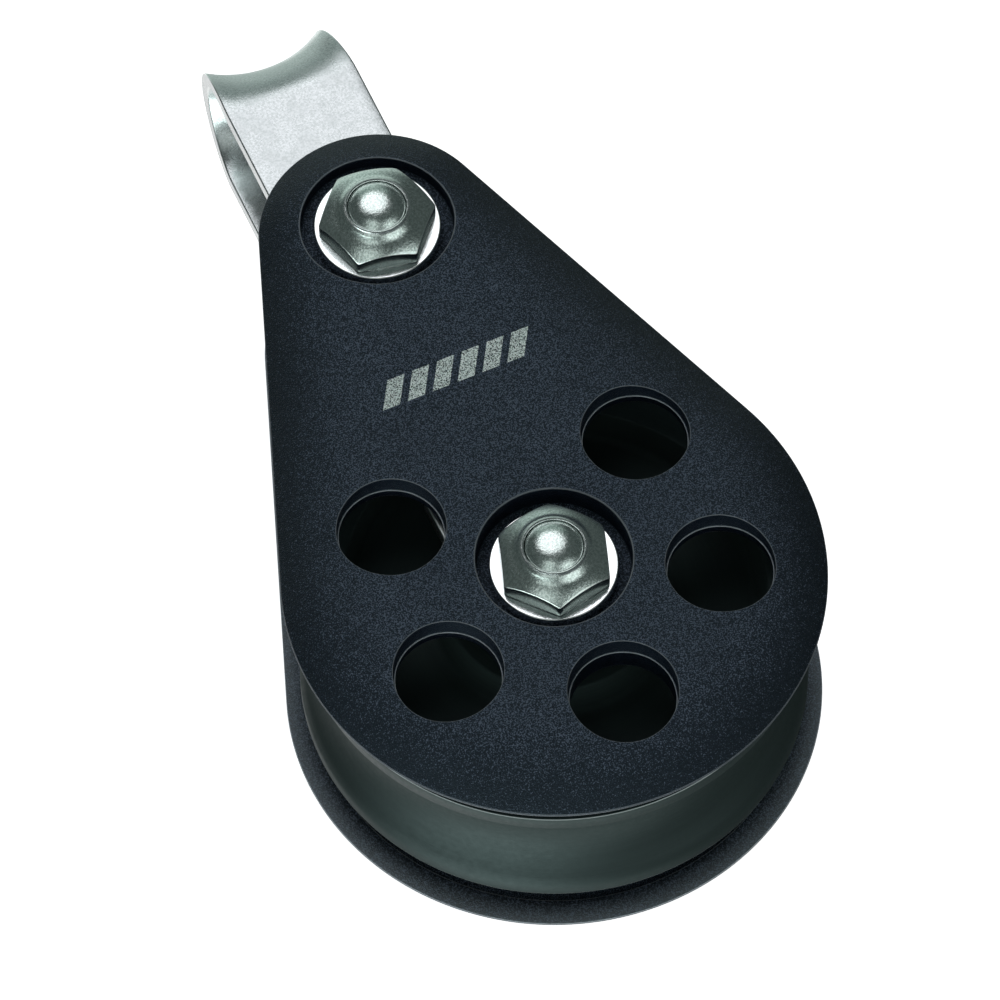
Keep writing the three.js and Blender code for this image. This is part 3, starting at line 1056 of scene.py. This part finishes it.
nut_mesh = mesh_of("nut", nut())
bolt_mesh = mesh_of("bolt", bolt())
for name, y, turn in [("axle", 0, AXLE_NUT_TURN), ("head", HEAD_REACH, HEAD_NUT_TURN)]:
    place(name + "_nut", nut_mesh, nut_steel, y=y, turn=turn)
    place(name + "_bolt", bolt_mesh, nut_steel, y=y, turn=turn)

# ---- floor, light and camera --------------------------------------------------------------------

CAMERA_TURN = 23.633  # degrees from -Y toward -X
CAMERA_RISE = 59.818
CAMERA_ROLL = -0.59
CAMERA_DISTANCE = 1.07785  # metres
CAMERA_AIM = (-0.002605, -0.01839, 0.03895)
CAMERA_LENS = 332.2  # millimetres
SENSOR = 36
FLOOR_HALF = 3
FLOOR_GAP = 0.0002  # below the heads that the block lies on


def camera():
    turn, rise = radians(CAMERA_TURN), radians(CAMERA_RISE)
    forward = Vector((sin(turn) * cos(rise), cos(turn) * cos(rise), -sin(rise)))
    right = Vector((cos(turn), -sin(turn), 0))
    up = right.cross(forward)
    basis = Matrix((right, up, -forward)).transposed() @ Matrix.Rotation(radians(CAMERA_ROLL), 3, "Z")
    data = bpy.data.cameras.new("camera")
    data.lens = CAMERA_LENS
    data.sensor_width = SENSOR
    data.clip_start, data.clip_end = 0.01, 50
    viewer = bpy.data.objects.new("camera", data)
    stand = Vector(CAMERA_AIM) - forward * CAMERA_DISTANCE
    viewer.matrix_world = Matrix.Translation(stand) @ basis.to_4x4()
    bpy.context.scene.collection.objects.link(viewer)
    bpy.context.scene.camera = viewer


def floor():
    """A wide pale table that glows, so that it stays white under the block."""
    build = bmesh.new()
    bmesh.ops.create_grid(build, x_segments=8, y_segments=8, size=FLOOR_HALF)
    mesh = bpy.data.meshes.new("floor")
    build.to_mesh(mesh)
    build.free()
    table = bpy.data.objects.new("floor", mesh)
    table.location.z = -FLOOR_GAP
    bpy.context.scene.collection.objects.link(table)
    n = Nodes("pale_table")
    mesh.materials.append(n.finish((0.6, 0.6, 0.6, 1), 0.9, n.bump(n.noise(300), 0.0001, 0.1)))
    n.shader.inputs["Specular IOR Level"].default_value = 0.1
    n.shader.inputs["Emission Color"].default_value = (1, 1, 1, 1)
    n.shader.inputs["Emission Strength"].default_value = 1.0
    table.visible_glossy = False  # reflections see the lower half of the room instead


def compass(turn, rise):
    """The direction at so many degrees clockwise from +Y, and so many above the table."""
    turn, rise = radians(turn), radians(rise)
    return Vector((sin(turn) * cos(rise), cos(turn) * cos(rise), sin(rise)))


def softbox(name, turn, rise, distance, size, watts):
    """A square light that faces the block from a compass turn and rise, in degrees."""
    direction = compass(turn, rise)
    data = bpy.data.lights.new(name, "AREA")
    data.shape = "SQUARE"
    data.size = size
    data.energy = watts
    light = bpy.data.objects.new(name, data)
    light.location = direction * distance
    light.rotation_mode = "QUATERNION"
    light.rotation_quaternion = direction.to_track_quat("Z", "Y")
    light.visible_camera = False
    light.visible_glossy = False
    bpy.context.scene.collection.objects.link(light)


ROOM_BASE = (0.06, 0.075, 0.073)
ROOM = [  # soft patches of light: compass turn, rise, inner and outer half-widths, colour
    (5, 60, 17, 27, (1.35, 1.38, 1.42)),
    (15, 26, 14, 30, (0.22, 0.28, 0.26)),
    (8, -20, 10, 36, (0.5, 0.6, 0.56)),
    (222, 50, 6, 22, (0.6, 0.67, 0.65)),
    (160, 24, 12, 32, (0.95, 1.05, 1.03)),
    (230, -8, 20, 42, (2.2, 2.55, 2.5)),
    (208, -50, 15, 42, (0.8, 0.92, 0.9)),
    (330, -60, 22, 42, (1.0, 1.0, 1.0)),
]


def surroundings():
    """A dim greenish room with soft patches of light."""
    world = bpy.data.worlds.new("studio")
    world.use_nodes = True
    tree = world.node_tree
    where = tree.nodes.new("ShaderNodeTexCoord").outputs["Generated"]
    total = ROOM_BASE
    for turn, rise, inner, outer, colour in ROOM:
        facing = tree.nodes.new("ShaderNodeVectorMath")
        facing.operation = "DOT_PRODUCT"
        facing.inputs[1].default_value = compass(turn, rise)
        tree.links.new(where, facing.inputs[0])
        level = ramp(tree, facing.outputs["Value"], cos(radians(outer)), cos(radians(inner)))
        patch = tree.nodes.new("ShaderNodeVectorMath")
        patch.operation = "MULTIPLY_ADD"
        patch.inputs[1].default_value = colour
        tree.links.new(level, patch.inputs[0])
        if isinstance(total, tuple):
            patch.inputs[2].default_value = total
        else:
            tree.links.new(total, patch.inputs[2])
        total = patch.outputs["Vector"]
    tree.links.new(total, tree.nodes["Background"].inputs["Color"])
    bpy.context.scene.world = world
    bpy.context.scene.view_settings.view_transform = "Standard"


def ramp(tree, value, start, end):
    """0 at the start value and 1 at the end, with a smooth change between."""
    node = tree.nodes.new("ShaderNodeMapRange")
    node.interpolation_type = "SMOOTHSTEP"
    node.inputs["From Min"].default_value = start
    node.inputs["From Max"].default_value = end
    tree.links.new(value, node.inputs["Value"])
    return node.outputs["Result"]


camera()
floor()
surroundings()
softbox("key_panel", turn=288, rise=35, distance=1.2, size=0.12, watts=0.4)
